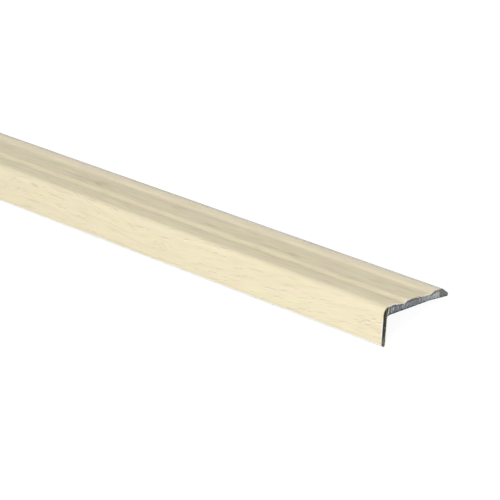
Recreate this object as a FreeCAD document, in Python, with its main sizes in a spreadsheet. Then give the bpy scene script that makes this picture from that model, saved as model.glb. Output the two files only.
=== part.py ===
import FreeCAD, Part
import math
import os

import Sketcher

# Corner guard moulding: a long angle strip that covers the edge of a step or a floor.
# A short leg stands down the front, a wide flange runs back from the rounded nose,
# and the flange's top is ribbed in three long lands so that a foot keeps its grip.
# The metal is one drawn aluminium profile. A thin woodgrain foil is wrapped over the
# leg's front, the nose and the ribbed top, and stops short of both free edges.
#
# Section axes before the piece is laid down: "across" runs from the metal's front face
# back to the tip, and every drop is measured down from the metal's highest line.
# Sizes are in millimetres, shares are parts of the wall.

sizes = {
    # whole metal section, without the foil
    "length": 900.0,
    "across": 24.5,
    "tall": 10.0,
    "wall": 1.3,
    "plate": 2.2,
    # nose and crowned front land
    "nose_round": 1.8,
    "front_flat": 1.2,
    "crown_radius": 14.8,
    "crown_wide": 4.5,
    # the two ramps, and the middle land between them
    "ramp_wide": 1.2,
    "crest_two_drop": 0.05,
    "land_two_radius": 100.0,
    "groove_two_drop": 0.78,
    "crest_three_drop": 0.38,
    # back land, bare chamfer and tip
    "back_crest_drop": 0.24,
    "land_three_wide": 3.2,
    "chamfer_wide": 2.4,
    "tip_top_drop": 1.9,
    "tip_foot_drop": 2.72,
    "foot_slope_wide": 7.1,
    # rounds
    "crest_round": 0.45,
    "groove_round": 0.6,
    "tip_round": 0.28,
    "inner_round": 0.85,
    # the leg's end: a wide round at the front and a small one at the back
    "foot_front_share": 0.7,
    "foot_back_share": 0.27,
    # foil, and where it stops: above the leg's foot, and before the back crest
    "foil": 0.2,
    "foil_stop": 0.45,
    "foil_ledge": 0.8,
}

doc = FreeCAD.newDocument("corner_guard")

sheet = doc.addObject("Spreadsheet::Sheet", "Sizes")
for row, (name, number) in enumerate(sizes.items(), start=1):
    cell = "B%d" % row
    sheet.set("A%d" % row, name)
    sheet.set(cell, str(number))
    sheet.setAlias(cell, name)
doc.recompute()

V = FreeCAD.Vector
SAME_SPOT = 1e-3


def total(*terms, share=1):
    """A share of some sizes added up, with a minus before a size that is taken off.

    Gives the value now, and the same sum in the sheet's words.
    """
    signed = [(-share, term[1:]) if term.startswith("-") else (share, term) for term in terms]
    value = sum(part * sizes[name] for part, name in signed)
    words = " + ".join("%s * Sizes.%s" % (part, name) for part, name in signed)
    return value, words


# Places across the section
leg_front = (0.0, "0")
leg_back = total("wall")
leg_middle = total("wall", share=0.5)
crown_start = total("nose_round", "front_flat")
groove_one = total("nose_round", "front_flat", "crown_wide")
crest_two = total("nose_round", "front_flat", "crown_wide", "ramp_wide")
groove_two = total("across", "-chamfer_wide", "-land_three_wide", "-ramp_wide")
crest_three = total("across", "-chamfer_wide", "-land_three_wide")
back_crest = total("across", "-chamfer_wide")
foil_back = total("across", "-chamfer_wide", "-foil_ledge")
tip = total("across")
foot_bend = total("across", "-foot_slope_wide")

# Drops below the metal's highest line
top = (0.0, "0")
crest_two_drop = total("crest_two_drop")
groove_two_drop = total("groove_two_drop")
crest_three_drop = total("crest_three_drop")
back_crest_drop = total("back_crest_drop")
tip_top = total("tip_top_drop")
tip_foot = total("tip_foot_drop")
underside = total("plate")
leg_end = total("tall")
foil_stop = total("tall", "-foil_stop")
mid_plate = total("plate", "groove_two_drop", share=0.5)


def origin_plane(body, role):
    for feature in body.Origin.OriginFeatures:
        if feature.Role == role:
            return feature


def hold(sketch, name, kind, corner, expression):
    """One driving dimension of a corner, measured from the section's zero corner."""
    geometry, end = corner
    value, words = expression
    if kind == "DistanceX":
        made = Sketcher.Constraint(kind, -1, 1, geometry, end, value)
    else:
        made = Sketcher.Constraint(kind, geometry, end, -1, 1, value)
    index = sketch.addConstraint(made)
    sketch.renameConstraint(index, name)
    sketch.setExpression("Constraints." + name, words)


# Section of the metal, point by point from the leg's foot over the top and back.
# A bulge other than "line" is an arc that bows up by its own radius.
crown_fall = sizes["crown_radius"] - math.sqrt(sizes["crown_radius"] ** 2 - sizes["crown_wide"] ** 2)
groove_one_drop = (crown_fall, None)

corners = [
    ("leg_foot_front", leg_front, leg_end),
    ("nose", leg_front, top),
    ("crown_start", crown_start, top),
    ("groove_one", groove_one, groove_one_drop),
    ("crest_two", crest_two, crest_two_drop),
    ("groove_two", groove_two, groove_two_drop),
    ("crest_three", crest_three, crest_three_drop),
    ("back_crest", back_crest, back_crest_drop),
    ("tip_top", tip, tip_top),
    ("tip_foot", tip, tip_foot),
    ("foot_bend", foot_bend, underside),
    ("inner", leg_back, underside),
    ("leg_foot_back", leg_back, leg_end),
]
spot = {name: V(across[0], -drop[0], 0) for name, across, drop in corners}
arcs = {"crown_start": "crown_radius", "crest_two": "land_two_radius"}


def arc_through(start, end, radius):
    """Arc bowing away from the plate's underside, from start to end."""
    chord = end - start
    half = chord.Length / 2
    across_chord = V(-chord.y, chord.x, 0).normalize()
    centre = start + chord / 2 - across_chord * math.sqrt(radius ** 2 - half ** 2)
    circle = Part.Circle(centre, V(0, 0, 1), radius)
    a_start = math.atan2(start.y - centre.y, start.x - centre.x)
    a_end = math.atan2(end.y - centre.y, end.x - centre.x)
    return Part.ArcOfCircle(circle, a_end, a_start)


body = doc.addObject("PartDesign::Body", "aluminium_profile")
section = body.newObject("Sketcher::SketchObject", "section")
section.AttachmentSupport = [(origin_plane(body, "YZ_Plane"), "")]
section.MapMode = "FlatFace"

# Each piece of the outline is (geometry, start end, finish end): an arc is stored
# anticlockwise, so one that is walked clockwise starts at its second end.
pieces = []
names = [name for name, across, drop in corners]
for here, after in zip(names, names[1:]):
    if here in arcs:
        radius = arcs[here]
        geometry = section.addGeometry(arc_through(spot[here], spot[after], sizes[radius]), False)
        index = section.addConstraint(Sketcher.Constraint("Radius", geometry, sizes[radius]))
        section.renameConstraint(index, "bow_" + here)
        section.setExpression("Constraints.bow_" + here, "Sizes." + radius)
        pieces.append((geometry, 2, 1))
    else:
        geometry = section.addGeometry(Part.LineSegment(spot[here], spot[after]), False)
        pieces.append((geometry, 1, 2))

foot = section.addGeometry(Part.LineSegment(spot[names[-1]], spot[names[0]]), False)
pieces.append((foot, 1, 2))

# The crowned front land runs on smoothly from the flat before it
smooth = [names.index("nose")]
joints = zip(pieces, pieces[1:] + pieces[:1])
for place, ((geometry, first, last), (following, start, end)) in enumerate(joints):
    kind = "Tangent" if place in smooth else "Coincident"
    section.addConstraint(Sketcher.Constraint(kind, geometry, last, following, start))

for (name, across, drop), (geometry, start, end) in zip(corners, pieces):
    hold(section, name + "_across", "DistanceX", (geometry, start), across)
    if drop[1]:
        hold(section, name + "_drop", "DistanceY", (geometry, start), drop)
doc.recompute()
for name, (geometry, start, end) in zip(names, pieces):
    spot[name] = section.getPoint(geometry, start)

pad = body.newObject("PartDesign::Pad", "drawn_length")
pad.Profile = section
pad.SideType = "Symmetric"
pad.setExpression("Length", "Sizes.length")
doc.recompute()


def long_edges(shape, wanted):
    """Names of the edges that run the whole length through the wanted corners."""
    found = []
    for number, edge in enumerate(shape.Edges, start=1):
        box = edge.BoundBox
        middle = V((box.YMin + box.YMax) / 2, (box.ZMin + box.ZMax) / 2, 0)
        runs = box.XLength > sizes["length"] / 2
        if runs and any((middle - spot[name]).Length < SAME_SPOT for name in wanted):
            found.append("Edge%d" % number)
    if len(found) != len(wanted):
        raise ValueError("edges for %s: %d found" % (", ".join(wanted), len(found)))
    return found


# Rounds along the whole length: nose, crests, grooves, tip, inner corner and leg's end
rounds = [
    ("nose", "Sizes.nose_round", ["nose"]),
    ("crests", "Sizes.crest_round", ["crest_two", "crest_three"]),
    ("grooves", "Sizes.groove_round", ["groove_one", "groove_two"]),
    ("tip_edges", "Sizes.tip_round", ["back_crest", "tip_top", "tip_foot"]),
    ("inner_corner", "Sizes.inner_round", ["inner"]),
    ("foot_front", "Sizes.wall * Sizes.foot_front_share", ["leg_foot_front"]),
    ("foot_back", "Sizes.wall * Sizes.foot_back_share", ["leg_foot_back"]),
]
shaped = pad
for label, radius, wanted in rounds:
    fillet = body.newObject("PartDesign::Fillet", label)
    fillet.Base = (shaped, long_edges(shaped.Shape, wanted))
    fillet.setExpression("Radius", radius)
    doc.recompute()
    shaped = fillet

# Foil: a skin of one thickness all round the sawn section, of which only the
# front, the nose and the ribbed top are kept
end_name = None
for number, face in enumerate(shaped.Shape.Faces, start=1):
    box = face.BoundBox
    if box.XLength < SAME_SPOT and box.XMin > 0:
        end_name = "Face%d" % number
end_face = doc.addObject("PartDesign::SubShapeBinder", "end_face")
end_face.Support = [(shaped, (end_name,))]
doc.recompute()

skin = doc.addObject("Part::Offset2D", "skin_section")
skin.Source = end_face
skin.Mode = "Skin"
skin.Join = "Arc"
skin.Fill = True
skin.setExpression("Value", "Sizes.foil")
doc.recompute()

skin_length = doc.addObject("Part::Extrusion", "skin_length")
skin_length.Base = skin
skin_length.DirMode = "Custom"
skin_length.Dir = V(-1, 0, 0)
skin_length.Solid = True
skin_length.setExpression("LengthFwd", "Sizes.length")
doc.recompute()

# Wrap zone: an angle-shaped bar whose inner side runs inside the metal
wrap = doc.addObject("PartDesign::Body", "wrap_zone")
reach = wrap.newObject("Sketcher::SketchObject", "wrap_reach")
reach.AttachmentSupport = [(origin_plane(wrap, "YZ_Plane"), "")]
reach.MapMode = "FlatFace"
beyond = total("-wall")
reach_corners = [
    ("outer_low", beyond, foil_stop),
    ("outer_high", beyond, beyond),
    ("back_high", foil_back, beyond),
    ("back_low", foil_back, mid_plate),
    ("inside_turn", leg_middle, mid_plate),
    ("inside_low", leg_middle, foil_stop),
]
outline = [V(across[0], -drop[0], 0) for name, across, drop in reach_corners]
lines = []
for here, after in zip(outline, outline[1:] + outline[:1]):
    lines.append(reach.addGeometry(Part.LineSegment(here, after), False))
for line, following in zip(lines, lines[1:] + lines[:1]):
    reach.addConstraint(Sketcher.Constraint("Coincident", line, 2, following, 1))
for (name, across, drop), line in zip(reach_corners, lines):
    hold(reach, name + "_across", "DistanceX", (line, 1), across)
    hold(reach, name + "_drop", "DistanceY", (line, 1), drop)
doc.recompute()
wrap_pad = wrap.newObject("PartDesign::Pad", "wrap_length")
wrap_pad.Profile = reach
wrap_pad.SideType = "Symmetric"
wrap_pad.setExpression("Length", "Sizes.length * 2")
doc.recompute()

foil = doc.addObject("Part::Common", "woodgrain_foil")
foil.Base = skin_length
foil.Tool = wrap
doc.recompute()

# Rest pose: the strip lies like a tent, on the leg's back round and the tip's foot.
# The lean is the slope of the line that touches both rounds from below.
foot_round = sizes["wall"] * sizes["foot_back_share"]
foot_centre = V(leg_back[0] - foot_round, foot_round - leg_end[0], 0)
slope = math.atan2(spot["foot_bend"].y - spot["tip_foot"].y, sizes["foot_slope_wide"])
tip_across = sizes["across"] - sizes["tip_round"]
tip_under = spot["foot_bend"].y - math.tan(slope) * (tip_across - spot["foot_bend"].x)
tip_centre = V(tip_across, tip_under + sizes["tip_round"] / math.cos(slope), 0)
span = tip_centre - foot_centre
lean = math.atan2(span.y, span.x) + math.asin((foot_round - sizes["tip_round"]) / span.Length)
turned = FreeCAD.Rotation(V(1, 0, 0), -math.degrees(lean))

body.Label = "aluminium_profile"
foil.Label = "woodgrain_foil"
body.Placement = FreeCAD.Placement(V(0, 0, 0), turned)
foil.setExpression("Placement", "aluminium_profile.Placement")
doc.recompute()

# Origin: middle of the length and depth, on the floor
box = body.Shape.optimalBoundingBox(False, False)
box.add(foil.Shape.optimalBoundingBox(False, False))
down = V(0, -(box.YMin + box.YMax) / 2, -box.ZMin)
body.Placement = FreeCAD.Placement(down, turned)
doc.recompute()

for item in doc.Objects:
    if "Invalid" in item.State or "Error" in item.State:
        raise ValueError("%s did not build" % item.Name)

os.makedirs("parts", exist_ok=True)
for piece in (body, foil):
    if piece.Shape.isNull() or not piece.Shape.isValid() or len(piece.Shape.Solids) != 1:
        raise ValueError("%s is not one sound solid" % piece.Label)
    piece.Shape.exportStep("parts/%s.step" % piece.Label)
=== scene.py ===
import math

import bpy
from mathutils import Matrix, Vector, noise


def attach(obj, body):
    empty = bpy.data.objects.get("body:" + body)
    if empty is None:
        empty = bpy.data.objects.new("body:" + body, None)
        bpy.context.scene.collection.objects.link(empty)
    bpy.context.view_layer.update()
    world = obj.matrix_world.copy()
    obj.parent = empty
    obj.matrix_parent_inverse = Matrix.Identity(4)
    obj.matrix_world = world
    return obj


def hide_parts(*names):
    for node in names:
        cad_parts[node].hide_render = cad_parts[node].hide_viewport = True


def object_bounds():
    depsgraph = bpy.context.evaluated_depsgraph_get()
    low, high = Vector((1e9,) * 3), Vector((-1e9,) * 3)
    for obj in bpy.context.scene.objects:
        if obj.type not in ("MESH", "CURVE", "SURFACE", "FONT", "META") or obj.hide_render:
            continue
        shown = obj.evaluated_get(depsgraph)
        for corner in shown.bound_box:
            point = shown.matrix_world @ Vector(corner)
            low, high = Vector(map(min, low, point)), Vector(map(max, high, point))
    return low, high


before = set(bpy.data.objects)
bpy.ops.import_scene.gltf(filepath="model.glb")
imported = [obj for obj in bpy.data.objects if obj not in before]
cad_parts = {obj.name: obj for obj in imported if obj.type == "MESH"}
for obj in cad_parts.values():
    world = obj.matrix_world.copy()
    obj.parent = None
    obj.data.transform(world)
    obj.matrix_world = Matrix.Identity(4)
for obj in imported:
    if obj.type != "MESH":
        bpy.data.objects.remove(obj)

cad_low, cad_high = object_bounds()

MM = 0.001

# The metal section as drawn, in millimetres: u across from its front face back to the tip,
# v up from its highest line, so everything below that line is negative. The film lies outside.
LENGTH = 900.0
ACROSS = 24.5
TALL = 10.0
WALL = 1.3
UNDERSIDE = -2.2
NOSE_ROUND = 1.8
FRONT_FLAT = 1.2
CROWN_RADIUS = 14.8
CROWN_WIDE = 4.5
RAMP_WIDE = 1.2
CREST_TWO = -0.05
LAND_TWO_RADIUS = 100.0
GROOVE_TWO = -0.78
CREST_THREE = -0.38
BACK_CREST = -0.24
LAND_THREE_WIDE = 3.2
CHAMFER_WIDE = 2.4
FOOT_SLOPE_WIDE = 7.1
TIP_TOP = -1.9
TIP_FOOT = -2.72
CREST_ROUND = 0.45
GROOVE_ROUND = 0.6
TIP_ROUND = 0.28
INNER_ROUND = 0.85
FOOT_FRONT = WALL * 0.7
FOOT_BACK = WALL * 0.27
FOIL = 0.2
FOIL_STOP = 0.45 - TALL
FOIL_LEDGE = 0.8

HALF = LENGTH / 2
BACK_U = ACROSS - CHAMFER_WIDE
FOOT_BEND = ACROSS - FOOT_SLOPE_WIDE
FOOT_FALL = math.atan2(UNDERSIDE - TIP_FOOT, FOOT_SLOPE_WIDE)

# How many steps each stretch of the outline, and the sawn wall's thickness, is laid in
FOOT_STEPS = 8
LEG_STEPS = 30
NOSE_STEPS = 16
CROWN_STEPS = 18
LAND_TWO_STEPS = 30
LAND_THREE_STEPS = 10
CHAMFER_STEPS = 8
TIP_STEPS = 22
CORNER_STEPS = 7
FILM_FOOT_STEPS = 5
WALL_STEPS = 8

# Least gap between points where two stretches meet, and how many times its reach a rounded corner keeps clear
POINT_GAP = 0.05
ARC_CLEARANCE = 1.05

# Rings in from each sawn end, in mm, and the step between the rings after them
METAL_RINGS, METAL_STEP = [0.0, 0.05, 0.14, 0.35, 0.9, 2.5, 6.0], 12.0
FILM_RINGS, FILM_STEP = [0.0, 0.12, 0.3, 0.55, 1.0, 2.0], 5.0

# The saw's ridges: slant, mean depth and reach, then each pattern's size across and up, its depth and seed
SAW_SLANT = 0.12
SAW_DEPTH = 0.035
SAW_REACH = 0.05
SAW_COARSE = (0.9, 9.0, 0.016, 3.7)
SAW_FINE = (0.34, 3.0, 0.012, 9.1)
SAW_TEAR = (0.5, 0.5, 0.006, 5.3)

# The bites that the saw took out of the wall's inner edge: size, depth, reach from the end, and seed
BITE_SIZE = 0.35
BITE_DEPTH = 0.12
BITE_REACH = 0.3
BITE_SEED = 2.2

# How far the film's outer skin lies inside the CAD's surface
SKIN_INSET = 0.002

# The film's torn lip: its reach, the tear's mean and its two patterns as size, weight and two seeds,
# and each skin's least tear with what the pattern adds to it
LIP_REACH = 0.3
TEAR_MEAN = 0.5
TEAR_COARSE = (0.8, 0.5, 1.7, 0.3)
TEAR_FINE = (0.22, 0.3, 4.1, 0.9)
OUTER_TEAR = (0.03, 0.2)
INNER_TEAR = (0.01, 0.08)

# The waver of the film's two long edges: its mean, and each edge's pattern as size and two seeds
EDGE_WAVER = 0.03
LOWER_WAVE = (7.0, 0.4, 0.1)
BACK_WAVE = (5.0, 1.4, 0.1)


def resting_pose():
    """The strip leaned back until the leg's back round and the tip's foot both touch the floor."""
    tip_u = ACROSS - TIP_ROUND
    tip_v = UNDERSIDE - math.tan(FOOT_FALL) * (tip_u - FOOT_BEND) + TIP_ROUND / math.cos(FOOT_FALL)
    du, dv = tip_u - (WALL - FOOT_BACK), tip_v - (FOOT_BACK - TALL)
    lean = math.atan2(dv, du) + math.asin((FOOT_BACK - TIP_ROUND) / math.hypot(du, dv))
    turn = Matrix.Rotation(-lean, 4, "X")
    foot = turn @ Vector((0, WALL - FOOT_BACK, FOOT_BACK - TALL))
    film_round = turn @ Vector((0, FOOT_FRONT, FOOT_FRONT - TALL))
    front_y = film_round.y - FOOT_FRONT - FOIL
    return Matrix.Translation((0, cad_low.y / MM - front_y, FOOT_BACK - foot.z)) @ turn


LAY = Matrix.Scale(MM, 4) @ resting_pose()


# Outlines, in the section's own millimetres

def bowed(start, end, radius, count):
    """An arc that bows upwards from start to end, both ends included."""
    chord = end - start
    side = Vector((-chord.y, chord.x)).normalized()
    centre = (start + end) / 2 - side * math.sqrt(radius ** 2 - (chord.length / 2) ** 2)
    first = math.atan2(start.y - centre.y, start.x - centre.x)
    last = math.atan2(end.y - centre.y, end.x - centre.x)
    turns = [first + (last - first) * k / count for k in range(count + 1)]
    return [centre + Vector((math.cos(a), math.sin(a))) * radius for a in turns]


def rounded(points, corners):
    """The same line with an arc in place of each listed corner {index: radius}."""
    arcs = {}
    for i, radius in corners.items():
        before = (points[i] - points[i - 1]).normalized()
        after = (points[i + 1] - points[i]).normalized()
        turn = math.atan2(before.x * after.y - before.y * after.x, before.dot(after))
        arcs[i] = (before, turn, radius, radius * math.tan(abs(turn) / 2))
    made = []
    for i, p in enumerate(points):
        if i in arcs:
            before, turn, radius, reach = arcs[i]
            start = p - before * reach
            side = Vector((-before.y, before.x)) * math.copysign(radius, turn)
            centre = start + side
            for k in range(CORNER_STEPS + 1):
                made.append(centre + Matrix.Rotation(turn * k / CORNER_STEPS, 2) @ (start - centre))
        elif not any((p - points[j]).length < arc[3] * ARC_CLEARANCE for j, arc in arcs.items()):
            made.append(p)
    return made


def turned(centre, radius, first, last, count):
    """Points round a centre from one angle to another, in degrees, both ends included."""
    steps = [math.radians(first + (last - first) * k / count) for k in range(count + 1)]
    return [centre + Vector((math.cos(a), math.sin(a))) * radius for a in steps]


def spaced(points, count):
    """The line walked in equal steps, both ends included."""
    lengths = walked(points)
    made, j = [], 0
    for k in range(count + 1):
        want = lengths[-1] * k / count
        while j < len(points) - 2 and lengths[j + 1] < want:
            j += 1
        step = lengths[j + 1] - lengths[j]
        made.append(points[j].lerp(points[j + 1], (want - lengths[j]) / step))
    return made


def walked(points):
    """Each point's distance from the first, along the line."""
    lengths = [0.0]
    for a, b in zip(points, points[1:]):
        lengths.append(lengths[-1] + (b - a).length)
    return lengths


def offset(points, distance):
    """The line moved to its left by distance."""
    made = []
    for i, p in enumerate(points):
        along = (points[min(i + 1, len(points) - 1)] - points[max(i - 1, 0)]).normalized()
        made.append(p + Vector((-along.y, along.x)) * distance)
    return made


def ribbed_top():
    """Metal's top from the end of the nose to the tip's face, with its two grooves."""
    crown_end_u = NOSE_ROUND + FRONT_FLAT + CROWN_WIDE
    crown_fall = CROWN_RADIUS - math.sqrt(CROWN_RADIUS ** 2 - CROWN_WIDE ** 2)
    crest_two = Vector((crown_end_u + RAMP_WIDE, CREST_TWO))
    crest_three = Vector((BACK_U - LAND_THREE_WIDE, CREST_THREE))
    groove_two = Vector((crest_three.x - RAMP_WIDE, GROOVE_TWO))
    crown_start = Vector((NOSE_ROUND + FRONT_FLAT, 0))
    line = [Vector((NOSE_ROUND, 0)), Vector((NOSE_ROUND + FRONT_FLAT / 2, 0))]
    line += bowed(crown_start, Vector((crown_end_u, -crown_fall)), CROWN_RADIUS, CROWN_STEPS)
    groove_one_at = len(line) - 1
    line.append(line[-1].lerp(crest_two, 0.5))
    crest_two_at = len(line)
    line += bowed(crest_two, groove_two, LAND_TWO_RADIUS, LAND_TWO_STEPS)
    groove_two_at = len(line) - 1
    line += [groove_two.lerp(crest_three, 0.5), crest_three]
    crest_three_at = len(line) - 1
    back = Vector((BACK_U, BACK_CREST))
    line += [crest_three.lerp(back, k / LAND_THREE_STEPS) for k in range(1, LAND_THREE_STEPS + 1)]
    back_at = len(line) - 1
    tip_top = Vector((ACROSS, TIP_TOP))
    line += [back.lerp(tip_top, k / CHAMFER_STEPS) for k in range(1, CHAMFER_STEPS + 1)]
    tip_at = len(line) - 1
    line.append(Vector((ACROSS, (TIP_TOP + TIP_FOOT) / 2)))
    corners = {groove_one_at: GROOVE_ROUND, crest_two_at: CREST_ROUND, groove_two_at: GROOVE_ROUND,
               crest_three_at: CREST_ROUND, back_at: TIP_ROUND, tip_at: TIP_ROUND}
    return rounded(line, corners)


def underside_at(u):
    return UNDERSIDE - math.tan(FOOT_FALL) * max(0.0, u - FOOT_BEND)


# Metal's two sides as matched points, so that the sawn end can be laid in rows across the wall
bottom = Vector(((FOOT_FRONT + WALL - FOOT_BACK) / 2, -TALL))
foot_centre = Vector((FOOT_FRONT, FOOT_FRONT - TALL))
heel_centre = Vector((WALL - FOOT_BACK, FOOT_BACK - TALL))
nose_centre = Vector((NOSE_ROUND, -NOSE_ROUND))
inner_centre = Vector((WALL + INNER_ROUND, UNDERSIDE - INNER_ROUND))
front_side = [bottom] + turned(foot_centre, FOOT_FRONT, 270, 180, FOOT_STEPS)
back_side = [bottom] + turned(heel_centre, FOOT_BACK, 270, 360, FOOT_STEPS)
front_low, back_low = front_side[-1], back_side[-1]
for k in range(1, LEG_STEPS):
    front_side.append(front_low.lerp(Vector((0, nose_centre.y)), k / LEG_STEPS))
    back_side.append(back_low.lerp(Vector((WALL, inner_centre.y)), k / LEG_STEPS))
front_side += turned(nose_centre, NOSE_ROUND, 180, 90, NOSE_STEPS)
back_side += turned(inner_centre, INNER_ROUND, 180, 90, NOSE_STEPS)
top_line = ribbed_top()
FLANGE_END = BACK_U - 2 * POINT_GAP
flange = [p for p in top_line[1:] if inner_centre.x + POINT_GAP < p.x < FLANGE_END]
front_side += flange
back_side += [Vector((p.x, underside_at(p.x))) for p in flange]
tip_high = [flange[-1]] + [p for p in top_line if p.x >= FLANGE_END]
tip_low = [Vector((flange[-1].x, underside_at(flange[-1].x))), Vector((ACROSS, TIP_FOOT))]
tip_low.append(Vector((ACROSS, (TIP_TOP + TIP_FOOT) / 2)))
tip_low = rounded(tip_low, {1: TIP_ROUND})
front_side += spaced(tip_high, TIP_STEPS)[1:]
back_side += spaced(tip_low, TIP_STEPS)[1:]

# Film's line lies on the metal from its stop above the foot to a little before the back crest
FOIL_BACK = BACK_U - FOIL_LEDGE
stop_turn = math.degrees(math.asin((foot_centre.y - FOIL_STOP) / FOOT_FRONT))
under_foil = turned(foot_centre, FOOT_FRONT, 180 + stop_turn, 180, FILM_FOOT_STEPS)
under_foil += [p for p in front_side if p.y > foot_centre.y + POINT_GAP and p.x < FOIL_BACK - POINT_GAP]
back_slope = (BACK_CREST - CREST_THREE) / LAND_THREE_WIDE
under_foil.append(Vector((FOIL_BACK, CREST_THREE + back_slope * (FOIL_BACK - BACK_U + LAND_THREE_WIDE))))


# Meshes

def stations(fine, step):
    """Places along the length: fine distances in from the two sawn ends, then even steps."""
    near = [HALF - d for d in fine]
    inner = near[-1]
    count = round(2 * inner / step)
    middle = [inner - 2 * inner * k / count for k in range(1, count)]
    return near + middle + [-x for x in reversed(near)]


def ring_faces(rings, count):
    """Faces between closed rings of count points each, stored one ring after another."""
    faces = []
    for r in range(rings - 1):
        here, beyond = r * count, (r + 1) * count
        for c in range(count):
            d = (c + 1) % count
            faces.append((here + c, here + d, beyond + d, beyond + c))
    return faces


def make_mesh(name, verts, faces, slots, uvs=None, wall=None):
    """Mesh in the row frame from section points; slots gives each face's material slot."""
    mesh = bpy.data.meshes.new(name)
    mesh.from_pydata([LAY @ Vector(p) for p in verts], [], faces)
    mesh.polygons.foreach_set("material_index", slots)
    mesh.polygons.foreach_set("use_smooth", [True] * len(faces))
    layer = mesh.attributes.new("section", "FLOAT_VECTOR", "POINT")
    layer.data.foreach_set("vector", [c for p in verts for c in p])
    if wall:
        mesh.attributes.new("wall", "FLOAT", "POINT").data.foreach_set("value", wall)
    if uvs:
        layer = mesh.uv_layers.new(name="unrolled")
        layer.uv.foreach_set("vector", [c for loop in mesh.loops for c in uvs[loop.vertex_index]])
    mesh.update()
    piece = bpy.data.objects.new(name, mesh)
    bpy.context.scene.collection.objects.link(piece)
    return piece


def saw_depth(u, v, end):
    """How far the saw's ridges fall below the true end, in mm: they run across the flange."""
    line = u - SAW_SLANT * v
    depth = SAW_DEPTH
    for at, (wide, tall, deep, seed) in ((line, SAW_COARSE), (line, SAW_FINE), (u, SAW_TEAR)):
        depth += deep * noise.noise((at / wide, v / tall, seed * end))
    return depth


def bitten(u, v, gap, end):
    """A point of the wall's inner side, moved into the wall where the saw bit a piece out."""
    bite = max(0.0, noise.noise((u / BITE_SIZE, v / BITE_SIZE, BITE_SEED * end)))
    bite = bite * BITE_DEPTH * (1 - gap / BITE_REACH)
    return (u, v + bite) if u > inner_centre.x else (u - bite, v)


def sawn_face(verts, wall, end, first, count):
    """Faces of one sawn end, in rows across the wall. Their inner points are added to verts and wall."""
    last = len(front_side) - 1
    columns = []
    for i in range(last + 1):
        column = [first + i]
        if 0 < i < last:
            back = first + count - i
            near, far = Vector(verts[first + i][1:]), Vector(verts[back][1:])
            for k in range(1, WALL_STEPS):
                u, v = near.lerp(far, k / WALL_STEPS)
                verts.append((end * (HALF - saw_depth(u, v, end)), u, v))
                wall.append(k / WALL_STEPS)
                column.append(len(verts) - 1)
            column.append(back)
        columns.append(column)
    faces = []
    for left, right in zip(columns, columns[1:]):
        for k in range(WALL_STEPS):
            if len(left) == 1:
                face = (left[0], right[k], right[k + 1])
            elif len(right) == 1:
                face = (left[k], right[0], left[k + 1])
            else:
                face = (left[k], right[k], right[k + 1], left[k + 1])
            faces.append(face if end > 0 else tuple(reversed(face)))
    return faces


def metal_piece():
    """The aluminium profile: rings along the length, and a ridged sawn face at each end."""
    ring = front_side + list(reversed(back_side[1:-1]))
    count, front_count = len(ring), len(front_side)
    places = stations(METAL_RINGS, METAL_STEP)
    verts, wall = [], []
    for x in places:
        gap, end = HALF - abs(x), math.copysign(1, x)
        for i, (u, v) in enumerate(ring):
            if gap < BITE_REACH and i >= front_count:
                u, v = bitten(u, v, gap, end)
            depth = saw_depth(u, v, end) * max(0.0, 1 - gap / SAW_REACH)
            verts.append((x - end * depth, u, v))
            wall.append(0.0 if i < front_count else 1.0)
    faces = ring_faces(len(places), count)
    slots = [0] * len(faces)
    for end, first in ((1, 0), (-1, (len(places) - 1) * count)):
        made = sawn_face(verts, wall, end, first, count)
        faces += made
        slots += [1] * len(made)
    return make_mesh("aluminium_strip", verts, faces, slots, wall=wall)


def torn_share(s, end):
    """How far the film is torn back at s mm along its cut, from 0 to 1."""
    share = TEAR_MEAN
    for size, weight, end_seed, seed in (TEAR_COARSE, TEAR_FINE):
        share += weight * noise.noise((s / size, end_seed * end, seed))
    return min(max(share, 0.0), 1.0)


def edge_waver(x, wave):
    """How far one of the film's long edges stands back from its line at x, in mm."""
    size, *seeds = wave
    return EDGE_WAVER + EDGE_WAVER * noise.noise((x / size, *seeds))


def foil_piece():
    """The woodgrain film: an outer and an inner skin with a torn lip at each sawn end."""
    outer = offset(under_foil, FOIL - SKIN_INSET)
    stop_reach = math.sqrt((FOOT_FRONT + FOIL) ** 2 - (foot_centre.y - FOIL_STOP) ** 2)
    outer[0] = Vector((foot_centre.x - stop_reach, FOIL_STOP))
    ring = outer + list(reversed(under_foil))
    paid = walked(outer)
    paid += list(reversed(paid))
    skin_count, count = len(outer), len(ring)
    places = stations(FILM_RINGS, FILM_STEP)
    verts, uvs = [], []
    for x in places:
        gap, end = HALF - abs(x), math.copysign(1, x)
        for i, (u, v) in enumerate(ring):
            least, added = OUTER_TEAR if i < skin_count else INNER_TEAR
            back = least + added * torn_share(paid[i], end)
            along = x - end * back * max(0.0, 1 - gap / LIP_REACH)
            if i in (0, count - 1):
                v += edge_waver(x, LOWER_WAVE)
            if i in (skin_count - 1, skin_count):
                u -= edge_waver(x, BACK_WAVE)
            verts.append((along, u, v))
            uvs.append((along * MM, paid[i] * MM))
    faces = ring_faces(len(places), count)
    slots = [0 if all(i % count < skin_count for i in face) else 1 for face in faces]
    for first in (0, (len(places) - 1) * count):
        for i in range(skin_count - 1):
            a, b = first + i, first + i + 1
            c, d = first + count - 2 - i, first + count - 1 - i
            faces.append((a, d, c, b) if first == 0 else (a, b, c, d))
            slots.append(1)
    return make_mesh("woodgrain_film", verts, faces, slots, uvs=uvs)


metal = metal_piece()
film = foil_piece()


# Materials

MATH, VECTOR, NOISE = "ShaderNodeMath", "ShaderNodeVectorMath", "ShaderNodeTexNoise"
RANGE, RAMP, MIX = "ShaderNodeMapRange", "ShaderNodeValToRGB", "ShaderNodeMix"
PARTS, JOINED, ATTRIBUTE = "ShaderNodeSeparateXYZ", "ShaderNodeCombineXYZ", "ShaderNodeAttribute"


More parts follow.
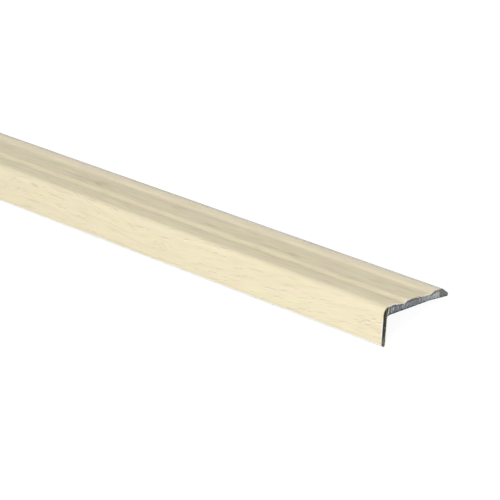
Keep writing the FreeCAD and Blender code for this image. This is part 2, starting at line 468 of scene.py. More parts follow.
def linear(code):
    """Linear RGBA of an sRGB hex colour."""
    parts = [int(code[i:i + 2], 16) / 255 for i in (1, 3, 5)]
    return [c / 12.92 if c <= 0.04045 else ((c + 0.055) / 1.055) ** 2.4 for c in parts] + [1.0]


def put(tree, kind, inputs=(), stops=(), **settings):
    """Adds a node. Each input, named or in order, is a value, an output or a node's first live output."""
    made = tree.nodes.new(kind)
    for name, value in settings.items():
        setattr(made, name, value)
    for name, value in inputs.items() if isinstance(inputs, dict) else enumerate(inputs):
        if isinstance(value, bpy.types.Node):
            value = next(out for out in value.outputs if out.enabled)
        if isinstance(value, bpy.types.NodeSocket):
            tree.links.new(value, made.inputs[name])
        else:
            made.inputs[name].default_value = value
    if stops:
        band = made.color_ramp
        while len(band.elements) < len(stops):
            band.elements.new(0.5)
        for element, (place, colour) in zip(band.elements, stops):
            element.position = place
            element.color = linear(colour)
    return made


def new_material(name):
    material = bpy.data.materials.new(name)
    material.use_nodes = True
    material.node_tree.nodes.clear()
    return material, material.node_tree


def times(tree, *factors):
    """All the factors multiplied together."""
    product = factors[0]
    for factor in factors[1:]:
        product = put(tree, MATH, (product, factor), operation="MULTIPLY")
    return product


def layered(tree, colour, layers):
    """The colour with each (hex colour, amount) laid over it in turn."""
    for code, amount in layers:
        colour = put(tree, MIX, {"Factor": amount, "A": colour, "B": linear(code)}, data_type="RGBA")
    return colour


# How far a seed moves a pattern sideways, for each step that it moves it along
SEED_SIDEWAYS = 1.7


def streaks(tree, place, long_mm, wide_mm, seed, detail=1.0):
    """Noise drawn out along the strip: streaks about long_mm by wide_mm, from a place in metres."""
    spread = put(tree, VECTOR, (place, (1 / MM / long_mm, 1 / MM / wide_mm, 1)), operation="MULTIPLY")
    moved = put(tree, VECTOR, (spread, (seed, seed * SEED_SIDEWAYS, seed)), operation="ADD")
    return put(tree, NOISE, {"Vector": moved, "Scale": 1.0, "Detail": detail})


# Share of a mark's half sizes within which it is at its full strength
MARK_CORE = 0.2


def mark(tree, place, at_mm, size_mm):
    """1 at one place on the film, fading to 0 at the rim of an ellipse of half sizes size_mm."""
    middle = (at_mm[0] * MM, at_mm[1] * MM, 0)
    away = put(tree, VECTOR, (place, middle), operation="SUBTRACT")
    share = (1 / MM / size_mm[0], 1 / MM / size_mm[1], 0)
    share = put(tree, VECTOR, (away, share), operation="MULTIPLY")
    far = put(tree, VECTOR, (share,), operation="LENGTH").outputs["Value"]
    return put(tree, RANGE, (far, MARK_CORE, 1.0, 1.0, 0.0))


def line_at(tree, coordinate, at, half_wide, full_wide, strength=1.0):
    """A thin line where the coordinate is at: strength within full_wide of it, 0 beyond half_wide."""
    away = put(tree, MATH, (coordinate, at), operation="SUBTRACT")
    away = put(tree, MATH, (away,), operation="ABSOLUTE")
    return put(tree, RANGE, (away, half_wide, full_wide, 0.0, strength))


def shaded(material, tree, colour, height, depth_mm, **inputs):
    """Principled surface with its colour, its relief and the rest of its inputs."""
    bump = put(tree, "ShaderNodeBump", {"Height": height, "Strength": 1.0, "Distance": depth_mm * MM})
    named = {name.replace("_", " "): value for name, value in inputs.items()}
    shader = put(tree, "ShaderNodeBsdfPrincipled", {"Base Color": colour, "Normal": bump, **named})
    put(tree, "ShaderNodeOutputMaterial", {"Surface": shader})
    return material


# Places on the unrolled film, in mm along the strip and up from the film's lower edge, with half sizes
STREAK_GROUPS = [((336, 20.8), (12, 3.0)), ((412.5, 19.8), (5.5, 0.9)), ((403, 19.7), (4, 0.7)),
                 ((383, 19.8), (7, 0.8)), ((382.5, 15.4), (3.5, 0.9)), ((367, 23.3), (4, 0.7))]
KNOT_AT, KNOT_SIZE = (326, 7.1), (2.4, 0.6)

# How far the figure wavers to either side as the noise runs over its span, slowly and from streak to streak,
# how steeply its strokes and pores climb, and how wide a pore is
NOISE_SPAN = (0.2, 0.8)
SLOW_WAVER = 3.4 * MM
QUICK_WAVER = 0.5 * MM
CLIMB = 0.08
PORE_WIDE = 0.3 * MM

# Zones of the section, in mm across or up: where each comes in, and where it is full
TREAD = (0.6, 3.2)
NOSE_OVER_LEG, NOSE_BEFORE_TREAD = (-3.2, -2.2), (1.7, 1.2)
BACK_LAND_PAINTED_LIGHT = (15.9, 17.5)
BACK_RAMP_IN, BACK_RAMP_OUT = (17.4, 17.8), (19.0, 18.6)
BACK_EDGE_SHADE = (20.1, 20.9)
FOOT_SHADOW_LINE = (-8.7, -9.0)
LOWER_BORDER_HIGHLIGHT = (-9.12, -9.30)
CORE_STAIN, CORE_SMOKE = (8.5, 9.5), (17.6, 18.4)
LEDGE_SHADE_IN, LEDGE_SHADE_OUT = (19.0, 20.0), (BACK_U + 0.1, BACK_U - 0.2)
LEG_BY_SLANT, LEG_BY_HEIGHT = (1.66, 1.56), (-3.2, -3.5)
NOSE_STREAK_FOOT, NOSE_STREAK_HEAD = (-2.8, -2.6), (-2.4, -2.6)
WORN_FOOT = (-6.9, -8.5)

# Chips in the film come in where its distance from the cut, less the noise times CHIP_REACH, is under these
CHIP_REACH = 1.5
CHIPPED_EDGE = (-0.50, -0.60)

# How many blots of each kind stand in a millimetre of the section
GRIT_PER_MM = 3.0
NICKS_PER_MM = 1.9
TEARS_PER_MM = 1.7
PATCHES_PER_MM = 0.8
SCUFFS_PER_MM = 0.7
STAINS_PER_MM = 0.45

# Sizes in mm of what the die and the saw drew: draw lines and handling marks along the length, across and up,
# and saw marks and drags across and up. Real draw lines are finer; these are as coarse as they need to show
DRAW_LINES = (90, 0.12, 0.12)
HANDLING = (18, 5, 5)
SAW_MARKS = (0.17, 1.6)
DRAGS = (0.14, 2.4)


def on_nose(tree, across, height):
    """1 on the nose's round, fading to 0 down the leg and along the top."""
    over_leg = put(tree, RANGE, (height, *NOSE_OVER_LEG))
    return times(tree, over_leg, put(tree, RANGE, (across, *NOSE_BEFORE_TREAD)))


def pore_rows(tree, place):
    """1 in each short sunk dash of the grain; the dashes stand in rows that come and go."""
    pores = put(tree, RANGE, (streaks(tree, place, 1.8, 0.28, 37, detail=0.0), 0.59, 0.65))
    rows = put(tree, RANGE, (streaks(tree, place, 10, 0.9, 53), 0.57, 0.61))
    open_parts = streaks(tree, place, 50, 7, 59, detail=0.0)
    return times(tree, pores, rows, put(tree, RANGE, (open_parts, 0.40, 0.50, 0.25, 1.0)))


def wavering(tree, flat):
    """How far the figure strays up the film: slowly along the strip, and a little from streak to streak."""
    slow = streaks(tree, flat, 46, 30, 2.6, detail=0.0)
    slow = put(tree, RANGE, (slow, *NOISE_SPAN, SLOW_WAVER, -SLOW_WAVER))
    quick = streaks(tree, flat, 9, 6, 5.3)
    quick = put(tree, RANGE, (quick, *NOISE_SPAN, -QUICK_WAVER, QUICK_WAVER))
    return put(tree, MATH, (slow, quick), operation="ADD")


def raised(tree, flat, rise):
    """The place on the film, moved up it by rise."""
    return put(tree, VECTOR, (flat, put(tree, JOINED, {"Y": rise})), operation="ADD")


def woodgrain_print(tree, flat, place, climbing, tread, clouds, fibre):
    """The printed figure: a pale ground with one pattern laid over another, stronger on the tread."""
    figure = put(tree, RANGE, (tread, 0.0, 1.0, 0.16, 0.29))
    bands = streaks(tree, place, 40, 2.2, 11)
    flush = streaks(tree, place, 16, 3.5, 83)
    strokes = streaks(tree, climbing, 11, 0.8, 97)
    gathered = 0.0
    for at_mm, size_mm in STREAK_GROUPS:
        group = mark(tree, flat, at_mm, size_mm)
        gathered = put(tree, MATH, (group, gathered), operation="MAXIMUM")
    # Each pattern's colour, the span of its noise that it comes in over, and its shares of strength
    layers = []
    for code, pattern, span, *shares in [
            ("#D8CEB0", bands, (0.5, 0.3), figure),
            ("#F1E6C6", bands, (0.5, 0.7), figure),
            ("#C4BAA0", clouds, (0.53, 0.72), figure, 0.85),
            ("#F5EACA", clouds, (0.47, 0.30), figure, 0.85),
            ("#E2C8B6", flush, (0.54, 0.68), tread, 0.15),
            ("#DCE0B4", flush, (0.46, 0.32), tread, 0.09),
            ("#CDC3A2", strokes, (0.60, 0.74), put(tree, RANGE, (tread, 0.0, 1.0, 0.4, 0.2))),
            ("#A89D80", fibre, (0.42, 0.62), gathered, 0.5)]:
        layers.append((code, times(tree, put(tree, RANGE, (pattern, *span)), *shares)))
    tint = streaks(tree, place, 7, 3, 71)
    ground = put(tree, RAMP, (tint,), [(0.35, "#E6DDBB"), (0.5, "#E7DCBD"), (0.65, "#E8DCBF")])
    return layered(tree, ground, layers)


def chips_and_back_edge_shade(tree, section):
    """How far the film is painted grey along its back edge as shade, and how far it is chipped at the cut."""
    length, across, height = put(tree, PARTS, (section,)).outputs
    torn = put(tree, NOISE, {"Vector": section, "Scale": TEARS_PER_MM, "Detail": 2.0})
    back_edge_shade = put(tree, RANGE, (across, *BACK_EDGE_SHADE))
    back_edge_shade = times(tree, back_edge_shade, put(tree, RANGE, (torn, 0.42, 0.58, 0.1, 1.0)))
    gap = put(tree, MATH, (length,), operation="ABSOLUTE")
    gap = put(tree, MATH, (gap, -1.0, HALF), operation="MULTIPLY_ADD")
    chipped = put(tree, MATH, (torn, -CHIP_REACH, gap), operation="MULTIPLY_ADD")
    chipped = put(tree, RANGE, (chipped, *CHIPPED_EDGE))
    off_nose = put(tree, RANGE, (on_nose(tree, across, height), 0.0, 1.0, 1.0, 0.2))
    return back_edge_shade, times(tree, chipped, off_nose)


def woodgrain_material():
    # Printed and embossed woodgrain film: pale ivory, long soft streaks, rows of short sunk pores, dull sheen
    material, tree = new_material("woodgrain_film")
    flat = put(tree, "ShaderNodeUVMap", uv_map="unrolled")
    section = put(tree, ATTRIBUTE, attribute_name="section").outputs["Vector"]
    parts = put(tree, PARTS, (section,)).outputs
    across, height = parts["Y"], parts["Z"]
    tread = put(tree, RANGE, (across, *TREAD))
    # The figure wavers. Its strokes and its rows of pores also climb a little towards the seen end
    waver = wavering(tree, flat)
    place = raised(tree, flat, waver)
    along = put(tree, PARTS, (flat,)).outputs["X"]
    climbing = raised(tree, flat, put(tree, MATH, (along, -CLIMB, waver), operation="MULTIPLY_ADD"))
    clouds = streaks(tree, place, 7, 1.1, 23)
    fibre = streaks(tree, place, 7, 0.3, 31)
    rows = streaks(tree, place, 13, 0.9, 53)
    # Pores are sunk dashes, faint on the tread, each with a painted highlight one pore's width below, for its
    # lit edge; fibres are a trace
    faint = put(tree, RANGE, (tread, 0.0, 1.0, 1.0, 0.3))
    sunk = times(tree, pore_rows(tree, climbing), faint)
    below = put(tree, VECTOR, (climbing, (0, PORE_WIDE, 0)), operation="ADD")
    painted_pore_highlight = times(tree, pore_rows(tree, below), faint)
    drawn = times(tree, put(tree, RANGE, (fibre, 0.58, 0.72)), put(tree, RANGE, (rows, 0.48, 0.58)))
    pressed = put(tree, MATH, (drawn, 0.2, sunk), operation="MULTIPLY_ADD")
    back_edge_shade, chipped = chips_and_back_edge_shade(tree, section)
    # Painted shade: darker patches on the back ramp break up the lit line along its face
    back_ramp_shade = times(tree, put(tree, RANGE, (across, *BACK_RAMP_IN)),
                      put(tree, RANGE, (across, *BACK_RAMP_OUT)),
                      put(tree, RANGE, (streaks(tree, flat, 26, 40, 67), 0.46, 0.54)))
    colour = layered(tree, woodgrain_print(tree, flat, place, climbing, tread, clouds, fibre), [
        # Painted shade on the back ramp's lit face
        ("#CFC5A6", times(tree, back_ramp_shade, 0.45)),
        ("#A98F66", times(tree, mark(tree, place, KNOT_AT, KNOT_SIZE), 0.3)),
        # Painted light: the back land made paler than its lighting gives
        ("#F5EAD1", times(tree, put(tree, RANGE, (across, *BACK_LAND_PAINTED_LIGHT)), 0.43)),
        # Painted shade: grey along the film's back edge
        ("#9C9A9C", times(tree, back_edge_shade, 0.36)),
        # Painted shade: a darker line just above the foot
        ("#C4B795", times(tree, put(tree, RANGE, (height, *FOOT_SHADOW_LINE)), 0.3)),
        # Painted highlight: a pale copy of the pores one pore's width below them
        ("#FFF8E8", times(tree, painted_pore_highlight, 0.38)),
        ("#97896E", times(tree, pressed, 0.21)),
        # Painted highlight: a near-white line along the film's lower border
        ("#FEFDF9", times(tree, put(tree, RANGE, (height, *LOWER_BORDER_HIGHLIGHT)), 0.85)),
        ("#EFEEE8", chipped)])
    relief = put(tree, MATH, (pressed, -1.0, times(tree, clouds, 0.06)), operation="MULTIPLY_ADD")
    return shaded(material, tree, colour, relief, depth_mm=0.06, Specular_IOR_Level=0.12,
                  Roughness=put(tree, RANGE, (clouds, 0.3, 0.7, 0.48, 0.62)))


def film_core_material():
    # Cut edge of the film: milky white plastic, chalky where torn, yellowed on the nose, smoky at the back
    material, tree = new_material("film_core")
    section = put(tree, ATTRIBUTE, attribute_name="section").outputs["Vector"]
    parts = put(tree, PARTS, (section,)).outputs
    across, height = parts["Y"], parts["Z"]
    torn = put(tree, NOISE, {"Vector": section, "Scale": GRIT_PER_MM, "Detail": 3.0})
    chalk = put(tree, RAMP, (torn,), [(0.35, "#DEDCDA"), (0.60, "#F6F5F4")])
    stained = put(tree, NOISE, {"Vector": section, "Scale": STAINS_PER_MM, "Detail": 1.0})
    stained = times(tree, put(tree, RANGE, (stained, 0.48, 0.56)),
                    put(tree, RANGE, (across, *CORE_STAIN, 0.0, 0.75)))
    smoky = put(tree, RANGE, (across, *CORE_SMOKE, 0.0, 0.6))
    colour = layered(tree, chalk, [("#B9AF93", stained), ("#CFC29C", on_nose(tree, across, height)),
                                   ("#968A84", smoky)])
    return shaded(material, tree, colour, torn, depth_mm=0.02, Roughness=0.7)


def drawn_metal_material():
    # Mill-finish aluminium: fine draw lines along the length, dull grey, with painted shade on the ledge
    # beside the film
    material, tree = new_material("drawn_aluminium")
    section = put(tree, ATTRIBUTE, attribute_name="section").outputs["Vector"]
    across = put(tree, PARTS, (section,)).outputs["Y"]
    lines = put(tree, VECTOR, (section, [1 / size for size in DRAW_LINES]), operation="MULTIPLY")
    lines = put(tree, NOISE, {"Vector": lines, "Scale": 1.0, "Detail": 3.0})
    handled = put(tree, VECTOR, (section, [1 / size for size in HANDLING]), operation="MULTIPLY")
    handled = put(tree, NOISE, {"Vector": handled, "Scale": 1.0, "Detail": 4.0})
    scuff = put(tree, NOISE, {"Vector": section, "Scale": SCUFFS_PER_MM, "Detail": 5.0})
    ground = put(tree, RAMP, (handled,), [(0.3, "#C4C7C8"), (0.7, "#DADCDC")])
    # Painted shade: a darker, yellowish band on the ledge beside the film's back edge
    ledge_shade = times(tree, put(tree, RANGE, (across, *LEDGE_SHADE_OUT)), put(tree, RANGE, (across, *LEDGE_SHADE_IN)),
                 put(tree, RANGE, (handled, 0.40, 0.58, 0.4, 0.95)))
    colour = layered(tree, ground, [("#9FA2A3", put(tree, RANGE, (scuff, 0.60, 0.72, 0.0, 0.5))),
                                    ("#ABA089", ledge_shade)])
    return shaded(material, tree, colour, lines, depth_mm=0.008, Metallic=1.0,
                  Roughness=put(tree, RANGE, (handled, 0.3, 0.7, 0.28, 0.42)))


# Bright streaks that the saw left across the flange: place across at the highest line, in mm, half width
# and strength
SAW_STREAKS = [(2.95, 0.13, 0.55), (7.1, 0.07, 0.7), (7.75, 0.06, 0.7), (8.5, 0.07, 0.5),
               (15.8, 0.06, 0.5), (16.3, 0.05, 0.5), (18.3, 0.07, 0.6), (19.5, 0.06, 0.5),
               (20.1, 0.07, 0.9), (20.75, 0.08, 1.0)]
# Share of a streak's half width within which it is at its full strength
STREAK_CORE = 0.4

# Two more of them, each with its place, its half width, its core's half width and its strength
NOSE_STREAK = (0.9, 0.07, 0.02, 1.0)
HEEL_STREAK = (1.74, 0.24, 0.12, 0.95)

# Where the back land starts, and where the saw's light and the painted shadow under the film end, as shares
# of the way across
LAND_SHARE = (0.76, 0.80)
LIGHT_END = (0.860, 0.866)
SHADOW_END = (0.856, 0.864)


def saw_light(tree, share, slant, marks, wall):
    """How brightly the saw's streaks shine across the flange; they crowd under the back land."""
    crowd = put(tree, RAMP, (share,), [
        (0.10, "#383838"), (0.16, "#282828"), (0.25, "#484848"), (0.38, "#404040"), (0.46, "#808080"),
        (0.56, "#606060"), (0.66, "#909090"), (0.74, "#A0A0A0"), (0.80, "#B4B4B4"), (0.86, "#A8A8A8"),
        (0.866, "#000000")])
    bright = put(tree, MATH, (crowd, 0.17, marks), operation="MULTIPLY_ADD")
    bright = put(tree, RANGE, (bright, 0.59, 0.68))
    for at, half_wide, strength in SAW_STREAKS:
        streak = line_at(tree, slant, at, half_wide, half_wide * STREAK_CORE, strength)
        bright = put(tree, MATH, (bright, streak), operation="MAXIMUM")
    below_film = put(tree, RANGE, (wall, 0.10, 0.28, 0.35, 1.0))
    below_film = put(tree, MATH, (below_film, put(tree, RANGE, (share, *LAND_SHARE))), operation="MAXIMUM")
    return times(tree, bright, below_film, put(tree, RANGE, (share, *LIGHT_END, 1.0, 0.0)))


def shadow_under_film(tree, section, share, wall, grit, bright):
    """How deep the painted shadow on the wall just under the film is: in patches, and not over bright
    streaks.
    """
    ragged = put(tree, MATH, (grit, 0.4, wall), operation="MULTIPLY_ADD")
    patch = put(tree, NOISE, {"Vector": section, "Scale": PATCHES_PER_MM, "Detail": 2.0})
    shade = put(tree, RAMP, (share,), [
        (0.07, "#A0A0A0"), (0.18, "#D8D8D8"), (0.24, "#707070"), (0.30, "#505050"), (0.33, "#E0E0E0"),
        (0.48, "#D8D8D8"), (0.56, "#606060"), (0.70, "#404040"), (0.76, "#F4F4F4"), (0.855, "#F4F4F4")])
    shade = times(tree, shade, put(tree, RANGE, (share, *SHADOW_END, 1.0, 0.0)))
    over = times(tree, bright, put(tree, RANGE, (share, *LAND_SHARE)))
    return times(tree, put(tree, RANGE, (ragged, 0.56, 0.38)), shade,
                 put(tree, RANGE, (patch, 0.40, 0.50, 0.4, 1.0)),
                 put(tree, RANGE, (over, 0.0, 1.0, 1.0, 0.15)))


def sawn_leg(tree, section, wall, grit, nicked):
    """The leg's colour: a painted dark reflection, black in the outer wall and olive at the inner side, with
    a few bright chips.
    """
    parts = put(tree, PARTS, (section,)).outputs
    across, height = parts["Y"], parts["Z"]
    inward = put(tree, MATH, (grit, -0.5), operation="ADD")
    inward = put(tree, MATH, (inward, 0.4, wall), operation="MULTIPLY_ADD")
    # Painted reflection: the leg's cut is painted dark, black outside and olive inside
    deep = put(tree, RAMP, (inward,), [
        (0.0, "#1A1211"), (0.36, "#1E1614"), (0.50, "#443F37"), (0.66, "#33332A"), (0.84, "#52563F"),
        (1.0, "#83886D")])
    dragged = put(tree, VECTOR, (section, (0, 1 / DRAGS[0], 1 / DRAGS[1])), operation="MULTIPLY")
    dragged = put(tree, NOISE, {"Vector": dragged, "Scale": 1.0, "Detail": 1.0})
    worn = put(tree, RANGE, (height, *WORN_FOOT))
    worn = times(tree, worn, put(tree, RANGE, (grit, 0.42, 0.56)), 0.75)
    streak = times(tree, line_at(tree, across, *NOSE_STREAK),
                   put(tree, RANGE, (height, *NOSE_STREAK_FOOT)),
                   put(tree, RANGE, (height, *NOSE_STREAK_HEAD, 0.5, 1.0)))
    return layered(tree, deep, [
        ("#77736A", put(tree, RANGE, (dragged, 0.60, 0.68, 0.0, 0.6))), ("#A9A49B", worn),
        ("#D0CCC4", streak), ("#DAD8CE", put(tree, RANGE, (nicked, 0.70, 0.73)))])


def sawn_metal_material():
    # Sawn end: grey metal with bright saw streaks across the wall, painted nearly black down the leg as a
    # dark reflection
    material, tree = new_material("sawn_aluminium")
    section = put(tree, ATTRIBUTE, attribute_name="section").outputs["Vector"]
    wall = put(tree, ATTRIBUTE, attribute_name="wall").outputs["Fac"]
    parts = put(tree, PARTS, (section,)).outputs
    across, height = parts["Y"], parts["Z"]
    share = put(tree, RANGE, (across, 0.0, ACROSS))
    slant = put(tree, MATH, (height, -SAW_SLANT, across), operation="MULTIPLY_ADD")
    marks = put(tree, JOINED, (slant, height, 0.0))
    marks = put(tree, VECTOR, (marks, (1 / SAW_MARKS[0], 1 / SAW_MARKS[1], 1)), operation="MULTIPLY")
    marks = put(tree, NOISE, {"Vector": marks, "Scale": 1.0, "Detail": 2.0})
    grit = put(tree, NOISE, {"Vector": section, "Scale": GRIT_PER_MM, "Detail": 3.0})
    nicked = put(tree, NOISE, {"Vector": section, "Scale": NICKS_PER_MM, "Detail": 1.0})
    # Flange: bluish behind the nose, plain grey further back, with a dark mauve painted shadow just under the
    # film
    tone = put(tree, RAMP, (share,), [
        (0.08, "#6E7A78"), (0.10, "#66736F"), (0.16, "#76767B"), (0.27, "#6E7275"), (0.42, "#747879"),
        (0.55, "#7A7E7E"), (0.64, "#838786"), (0.74, "#929694"), (0.857, "#8C908E"), (0.866, "#717572"),
        (1.0, "#757976")])
    bright = saw_light(tree, share, slant, marks, wall)
    heel = line_at(tree, slant, *HEEL_STREAK)
    off_heel = put(tree, RANGE, (heel, 0.0, 0.4, 1.0, 0.0))
    # Painted shadow: dark marks of the burrs along the wall's lower edge
    nick_shadows = put(tree, MATH, (nicked, 0.7, wall), operation="MULTIPLY_ADD")
    nick_shadows = put(tree, RANGE, (nick_shadows, 1.17, 1.24))
    nick_shadows = times(tree, nick_shadows, put(tree, RANGE, (share, 0.35, 0.9, 1.0, 0.7)))
    flange = layered(tree, tone, [("#C6CBBC", heel), ("#D9DFE2", times(tree, bright, off_heel)),
                                  ("#37333A", nick_shadows)])
    # Painted shadow: the dark mauve band on the wall just under the film
    film_shadow_tone = layered(tree, linear("#544C64"), [("#5D4F54", put(tree, RANGE, (share, 0.66, 0.76)))])
    film_shadow = shadow_under_film(tree, section, share, wall, grit, bright)
    flange = put(tree, MIX, {"Factor": film_shadow, "A": flange, "B": film_shadow_tone}, data_type="RGBA")
    leg = sawn_leg(tree, section, wall, grit, nicked)
    in_leg = put(tree, RANGE, (slant, *LEG_BY_SLANT))
    in_leg = put(tree, MATH, (in_leg, put(tree, RANGE, (height, *LEG_BY_HEIGHT))), operation="MAXIMUM")
    colour = put(tree, MIX, {"Factor": in_leg, "A": flange, "B": leg}, data_type="RGBA")
    return shaded(material, tree, colour, marks, depth_mm=0.03, Roughness=0.5, Specular_IOR_Level=0.12,
                  Metallic=put(tree, RANGE, (in_leg, 0.0, 1.0, 0.6, 0.0)))


# How bare of scraps the film's cut line is, by place across: they hang from behind the nose to the back land
BARE = [(-0.1, 0.12), (0.1, 0.9), (1.5, 0.9), (1.7, -0.04), (5.6, 0.0), (6.6, 0.08), (7.4, -0.05),
        (8.6, 0.0), (9.4, 0.10), (13.0, 0.10), (14.0, 0.03), (17.0, 0.03), (17.8, 0.9)]

# The scraps: how far in from the end they hang, in mm, and then, in metres, their spacing, their least and
# most half sizes along the strip, along the cut line and across it, and the span that they are frayed over
SCRAP_INSET = 0.026
SCRAP_SPACING = 0.16 * MM
SCRAP_LEAST = (0.012 * MM, 0.08 * MM, 0.05 * MM)
SCRAP_MOST = (0.02 * MM, 0.34 * MM, 0.24 * MM)
FRAY = 0.3 * MM

# How many times a metre the scraps' crowding and their fraying come and go
CROWDING_SCALE = 700.0
FRAY_SCALE = 4200.0


def bare_at(p):
    """The table's value at a point's place across, straight between its entries."""
    for (a, low), (b, high) in zip(BARE, BARE[1:]):
        if p.x <= b:
            return low + (high - low) * max(0.0, p.x - a) / (b - a)
    return BARE[-1][1]


def torn_edge_tree():
    """Small flat scraps crowded along a path in places, each lying with it in the plane of the cut."""
    tree = bpy.data.node_groups.new("torn_edge", "GeometryNodeTree")
    kinds = {"Path": "Geometry", "Spacing": "Float", "Least": "Vector", "Most": "Vector",
             "Kept above": "Float", "Seed": "Int", "Material": "Material"}
    for name, kind in kinds.items():
        tree.interface.new_socket(name, in_out="INPUT", socket_type="NodeSocket" + kind)
    tree.interface.new_socket("Scraps", in_out="OUTPUT", socket_type="NodeSocketGeometry")
    given = put(tree, "NodeGroupInput").outputs
    curve = put(tree, "GeometryNodeMeshToCurve", (given["Path"],))
    path = put(tree, "GeometryNodeResampleCurve", {"Curve": curve, "Length": given["Spacing"]},
               mode="LENGTH")
    crowding = put(tree, NOISE, {"Scale": CROWDING_SCALE, "Detail": 1.0})
    bare = put(tree, "GeometryNodeInputNamedAttribute", {"Name": "bare"}, data_type="FLOAT")
    enough = put(tree, MATH, (bare, given["Kept above"]), operation="ADD")
    kept = put(tree, "FunctionNodeCompare", {"A": crowding, "B": enough}, operation="GREATER_THAN")
    along = put(tree, "FunctionNodeAlignRotationToVector",
                {"Vector": put(tree, "GeometryNodeInputTangent")}, axis="Y", pivot_axis="X")
    size = put(tree, "FunctionNodeRandomValue",
               {"Min": given["Least"], "Max": given["Most"], "Seed": given["Seed"]},
               data_type="FLOAT_VECTOR")
    scrap = put(tree, "GeometryNodeMeshIcoSphere", {"Radius": 1.0, "Subdivisions": 2})
    laid = put(tree, "GeometryNodeInstanceOnPoints",
               {"Points": path, "Selection": kept, "Instance": scrap, "Rotation": along, "Scale": size})
    real = put(tree, "GeometryNodeRealizeInstances", (laid,))
    frayed = put(tree, NOISE, {"Scale": FRAY_SCALE, "Detail": 1.0}).outputs["Color"]
    frayed = put(tree, VECTOR, (frayed, (0.5, 0.5, 0.5)), operation="SUBTRACT")
    frayed = put(tree, VECTOR, (frayed, (0.0, FRAY, FRAY)), operation="MULTIPLY")
    moved = put(tree, "GeometryNodeSetPosition", {"Geometry": real, "Offset": frayed})
    smooth = put(tree, "GeometryNodeSetShadeSmooth", {"Geometry": moved})
    done = put(tree, "GeometryNodeSetMaterial", {"Geometry": smooth, "Material": given["Material"]})
    put(tree, "NodeGroupOutput", (done,))
    return tree


def torn_edge(name, tree, line, material, **inputs):
    """The tree's scraps laid along a section line at both sawn ends, as one plain mesh."""
    verts = [LAY @ Vector((end * (HALF - SCRAP_INSET), p.x, p.y)) for end in (1, -1) for p in line]
    edges = [(i, i + 1) for i in range(2 * len(line) - 1) if i != len(line) - 1]
    mesh = bpy.data.meshes.new(name)
    mesh.from_pydata(verts, edges, [])
    bare = [bare_at(p) for p in line]
    mesh.attributes.new("bare", "FLOAT", "POINT").data.foreach_set("value", bare * 2)
    places = [c for end in (1, -1) for p in line for c in (end * HALF, p.x, p.y)]
    mesh.attributes.new("section", "FLOAT_VECTOR", "POINT").data.foreach_set("vector", places)
    piece = bpy.data.objects.new(name, mesh)
    bpy.context.scene.collection.objects.link(piece)
    modifier = piece.modifiers.new("torn", "NODES")
    modifier.node_group = tree
    for item in tree.interface.items_tree:
        wanted = item.name.replace(" ", "_").lower()
        if item.in_out == "INPUT" and wanted in inputs:
            modifier[item.identifier] = inputs[wanted]
        elif item.name == "Material":
            modifier[item.identifier] = material
    grown = piece.evaluated_get(bpy.context.evaluated_depsgraph_get())
    grown = bpy.data.meshes.new_from_object(grown)
    piece.modifiers.clear()
    piece.data = grown
    return piece


drawn, sawn = drawn_metal_material(), sawn_metal_material()
grain, core = woodgrain_material(), film_core_material()
for piece, materials in ((metal, (drawn, sawn)), (film, (grain, core))):
    for material in materials:
        piece.data.materials.append(material)

torn = torn_edge_tree()
flakes = torn_edge("film_flakes", torn, under_foil, core, spacing=SCRAP_SPACING, least=SCRAP_LEAST,
                   most=SCRAP_MOST, kept_above=0.49, seed=7)

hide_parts("aluminium_profile")
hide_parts("woodgrain_foil")
for piece in (metal, film, flakes):
    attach(piece, "root")


# Floor, light and camera

# Half the floor's side, in metres. To the camera the floor glows with FLOOR_GLOW round the strip, and turns
# white between the two distances of SHADOW_REACH. AMBIENT is the world's light on the strip
FLOOR_REACH = 6.0
FLOOR_GLOW = 0.86
SHADOW_REACH = (0.55, 0.95)
AMBIENT = 0.42


def floor_material():
    # Pale studio floor: near white, with a trace of soft mottling
    material, tree = new_material("studio_floor")
    where = put(tree, "ShaderNodeTexCoord").outputs["Object"]
    mottle = put(tree, NOISE, {"Vector": where, "Scale": 6.0, "Detail": 3.0})
    colour = put(tree, RAMP, (mottle,), [(0.3, "#A4A4A4"), (0.7, "#A8A8A8")])
    rays = put(tree, "ShaderNodeLightPath").outputs
    seen = put(tree, MATH, (rays["Is Camera Ray"], rays["Is Glossy Ray"]), operation="MAXIMUM")
    far = put(tree, VECTOR, (where,), operation="LENGTH").outputs["Value"]
    glow = times(tree, seen, put(tree, RANGE, (far, *SHADOW_REACH, FLOOR_GLOW, 1.0)))
    glow = put(tree, "ShaderNodeEmission", {"Strength": glow})
    matt = put(tree, "ShaderNodeBsdfDiffuse", {"Color": layered(tree, colour, [("#7C7C7C", seen)])})
    put(tree, "ShaderNodeOutputMaterial", {"Surface": put(tree, "ShaderNodeAddShader", (matt, glow))})
    return material


def studio_world():
    """White wherever the camera looks past the floor, and a soft white glow on the strip."""
    world = bpy.data.worlds.new("studio")
    bpy.context.scene.world = world
    world.use_nodes = True
    tree = world.node_tree
    tree.nodes.clear()
    rays = put(tree, "ShaderNodeLightPath").outputs
    direct = put(tree, MATH, (rays["Is Camera Ray"], rays["Is Glossy Ray"]), operation="MAXIMUM")
    direct = put(tree, MATH, (direct, rays["Is Transmission Ray"]), operation="MAXIMUM")
    strength = put(tree, RANGE, (direct, 0.0, 1.0, AMBIENT, 1.0))
    sky = put(tree, "ShaderNodeBackground", {"Color": (1, 1, 1, 1), "Strength": strength})
    put(tree, "ShaderNodeOutputWorld", {"Surface": sky})


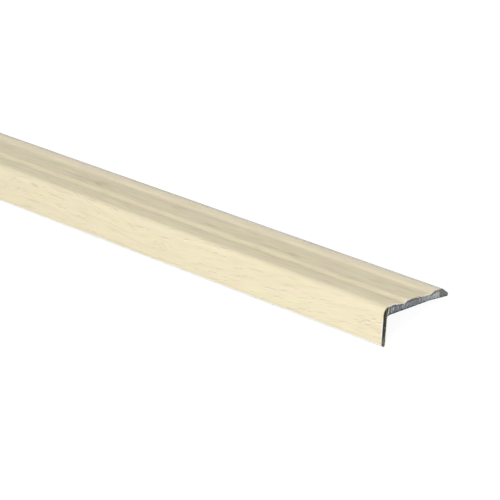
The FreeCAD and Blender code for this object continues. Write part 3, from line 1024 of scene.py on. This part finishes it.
floor_mesh = bpy.data.meshes.new("floor")
corners = [(x * FLOOR_REACH, y * FLOOR_REACH, 0) for x, y in ((-1, -1), (1, -1), (1, 1), (-1, 1))]
floor_mesh.from_pydata(corners, [], [(0, 1, 2, 3)])
floor = bpy.data.objects.new("floor", floor_mesh)
bpy.context.scene.collection.objects.link(floor)
floor_mesh.materials.append(floor_material())

studio_world()

# Camera solved from the photo in the section's own axes, with the sawn end's zero corner as origin
SEEN_FROM = Vector((283.4, -361.0, 174.9))
SEEN_ALONG = Vector((-0.63281, 0.69858, -0.33396))
SEEN_UP = Vector((-0.26511, 0.20976, 0.94113))
FOCAL_PX = 2085
PHOTO_PX = 500
SENSOR = 36.0

# What the lamps point at: a place on the strip 80 mm in from the seen end
AIM = LAY @ Vector((HALF - 80, 8, -2))

end_corner = Vector((HALF, 0, 0))
turn = LAY.to_3x3().normalized()
back = -(turn @ SEEN_ALONG).normalized()
right = (turn @ SEEN_UP).cross(back).normalized()
camera_data = bpy.data.cameras.new("camera")
camera_data.lens = FOCAL_PX / PHOTO_PX * SENSOR
camera_data.sensor_width = SENSOR
camera_data.clip_start = 0.01
camera_data.clip_end = 50
camera = bpy.data.objects.new("camera", camera_data)
bpy.context.scene.collection.objects.link(camera)
pose = Matrix((right, back.cross(right), back)).transposed().to_4x4()
pose.translation = LAY @ (end_corner + SEEN_FROM)
camera.matrix_world = pose
bpy.context.scene.camera = camera
bpy.context.scene.view_settings.view_transform = "Standard"


def lamp(name, place, size, watts):
    """A round lamp at a place from AIM, in metres, turned towards it."""
    data = bpy.data.lights.new(name, "AREA")
    data.shape = "DISK"
    data.size = size
    data.energy = watts
    made = bpy.data.objects.new(name, data)
    bpy.context.scene.collection.objects.link(made)
    made.location = AIM + Vector(place)
    made.rotation_mode = "QUATERNION"
    made.rotation_quaternion = (-Vector(place)).to_track_quat("-Z", "Y")


lamp("front_light", (0.45, -0.85, 0.3), 1.2, 12.1)
lamp("back_light", (0.2, 0.9, 1.6), 1.2, 9.6)
